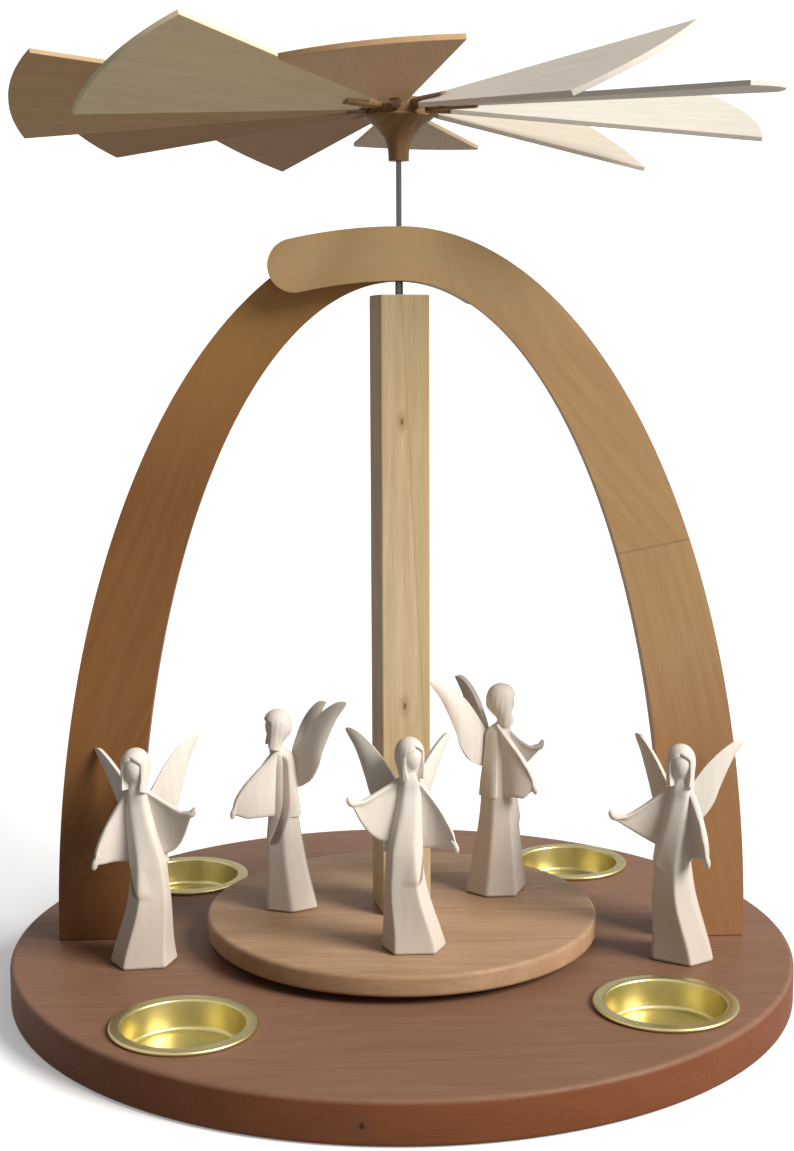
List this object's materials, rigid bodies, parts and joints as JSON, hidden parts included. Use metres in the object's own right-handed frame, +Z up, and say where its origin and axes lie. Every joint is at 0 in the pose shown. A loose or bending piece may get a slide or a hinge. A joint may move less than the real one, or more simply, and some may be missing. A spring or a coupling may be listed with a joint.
{
  "type": "christmas pyramid",
  "caption": "Wooden candle carousel: a lapped arch on a round base with tealight cups, and a rotor with a turntable of carved angels under a paddle wheel.",
  "frame": {"origin": "centre of the base's underside, on the rotor's axis", "axes": "+Z up along the rotor's axis; the arch stands in the XZ plane, and -Y is the front"},
  "size_m": [0.285, 0.285, 0.33],
  "materials": {
    "brown_stained_wood": "stained and waxed, matt",
    "arch_wood": "clear waxed, fine straight grain",
    "post_pine": "planed pine, unfinished",
    "turntable_wood": "clear waxed",
    "paddle_wood": "thin planed wood, unfinished",
    "hub_wood": "turned and waxed",
    "lime_wood": "carved, unfinished, matt",
    "cup_brass": "spun sheet, satin",
    "bearing_glass": "pressed, clear",
    "brass": "turned",
    "steel": "dark drawn wire"
  },
  "bodies": {
    "stand": {"base_plate": "brown_stained_wood", "tealight_cup_front_right": "cup_brass", "tealight_cup_back_right": "cup_brass", "tealight_cup_back_left": "cup_brass", "tealight_cup_front_left": "cup_brass", "arch_arm_front": "arch_wood", "arch_arm_rear": "arch_wood", "foot_screw_front_outer": "steel", "foot_screw_front_inner": "steel", "foot_screw_rear_outer": "steel", "foot_screw_rear_inner": "steel", "guide_bush": "brass", "pivot_bearing": "bearing_glass", "angel_left_robe": "lime_wood", "angel_left_head": "lime_wood", "angel_left_wing_left": "lime_wood", "angel_left_wing_right": "lime_wood", "angel_right_robe": "lime_wood", "angel_right_head": "lime_wood", "angel_right_wing_left": "lime_wood", "angel_right_wing_right": "lime_wood"},
    "rotor": {"turntable": "turntable_wood", "post": "post_pine", "shaft": "steel", "pivot_pin": "steel", "hub": "hub_wood", "angel_centre_robe": "lime_wood", "angel_centre_head": "lime_wood", "angel_centre_wing_left": "lime_wood", "angel_centre_wing_right": "lime_wood", "angel_back_left_robe": "lime_wood", "angel_back_left_head": "lime_wood", "angel_back_left_wing_left": "lime_wood", "angel_back_left_wing_right": "lime_wood", "angel_back_right_robe": "lime_wood", "angel_back_right_head": "lime_wood", "angel_back_right_wing_left": "lime_wood", "angel_back_right_wing_right": "lime_wood"},
    "paddle_1": {"paddle_1": "paddle_wood", "paddle_stem_1": "hub_wood"},
    "paddle_2": {"paddle_2": "paddle_wood", "paddle_stem_2": "hub_wood"},
    "paddle_3": {"paddle_3": "paddle_wood", "paddle_stem_3": "hub_wood"},
    "paddle_4": {"paddle_4": "paddle_wood", "paddle_stem_4": "hub_wood"},
    "paddle_5": {"paddle_5": "paddle_wood", "paddle_stem_5": "hub_wood"},
    "paddle_6": {"paddle_6": "paddle_wood", "paddle_stem_6": "hub_wood"},
    "paddle_7": {"paddle_7": "paddle_wood", "paddle_stem_7": "hub_wood"},
    "paddle_8": {"paddle_8": "paddle_wood", "paddle_stem_8": "hub_wood"},
    "paddle_9": {"paddle_9": "paddle_wood", "paddle_stem_9": "hub_wood"},
    "paddle_10": {"paddle_10": "paddle_wood", "paddle_stem_10": "hub_wood"}
  },
  "joints": [
    {"name": "rotor_spin", "type": "hinge", "parent": "stand", "child": "rotor", "pos_m": [0, 0, 0.0135], "axis": [0, 0, 1], "continuous": true},
    {"name": "paddle_1_pitch", "type": "hinge", "parent": "rotor", "child": "paddle_1", "pos_m": [0, 0, 0.3152], "axis": [0.9135, -0.4067, 0], "range_deg": [-5, 85]},
    {"name": "paddle_2_pitch", "type": "hinge", "parent": "rotor", "child": "paddle_2", "pos_m": [0, 0, 0.3152], "axis": [0.9781, 0.2079, 0], "range_deg": [-24, 66]},
    {"name": "paddle_3_pitch", "type": "hinge", "parent": "rotor", "child": "paddle_3", "pos_m": [0, 0, 0.3152], "axis": [0.6691, 0.7431, 0], "range_deg": [-32, 58]},
    {"name": "paddle_4_pitch", "type": "hinge", "parent": "rotor", "child": "paddle_4", "pos_m": [0, 0, 0.3152], "axis": [0.1045, 0.9945, 0], "range_deg": [-2, 88]},
    {"name": "paddle_5_pitch", "type": "hinge", "parent": "rotor", "child": "paddle_5", "pos_m": [0, 0, 0.3152], "axis": [-0.5, 0.866, 0], "range_deg": [-23, 67]},
    {"name": "paddle_6_pitch", "type": "hinge", "parent": "rotor", "child": "paddle_6", "pos_m": [0, 0, 0.3152], "axis": [-0.9135, 0.4067, 0], "range_deg": [-21, 69]},
    {"name": "paddle_7_pitch", "type": "hinge", "parent": "rotor", "child": "paddle_7", "pos_m": [0, 0, 0.3152], "axis": [-0.9781, -0.2079, 0], "range_deg": [-24, 66]},
    {"name": "paddle_8_pitch", "type": "hinge", "parent": "rotor", "child": "paddle_8", "pos_m": [0, 0, 0.3152], "axis": [-0.6691, -0.7431, 0], "range_deg": [-27, 63]},
    {"name": "paddle_9_pitch", "type": "hinge", "parent": "rotor", "child": "paddle_9", "pos_m": [0, 0, 0.3152], "axis": [-0.1045, -0.9945, 0], "range_deg": [-5, 85]},
    {"name": "paddle_10_pitch", "type": "hinge", "parent": "rotor", "child": "paddle_10", "pos_m": [0, 0, 0.3152], "axis": [0.5, -0.866, 0], "range_deg": [-27, 63]}
  ]
}
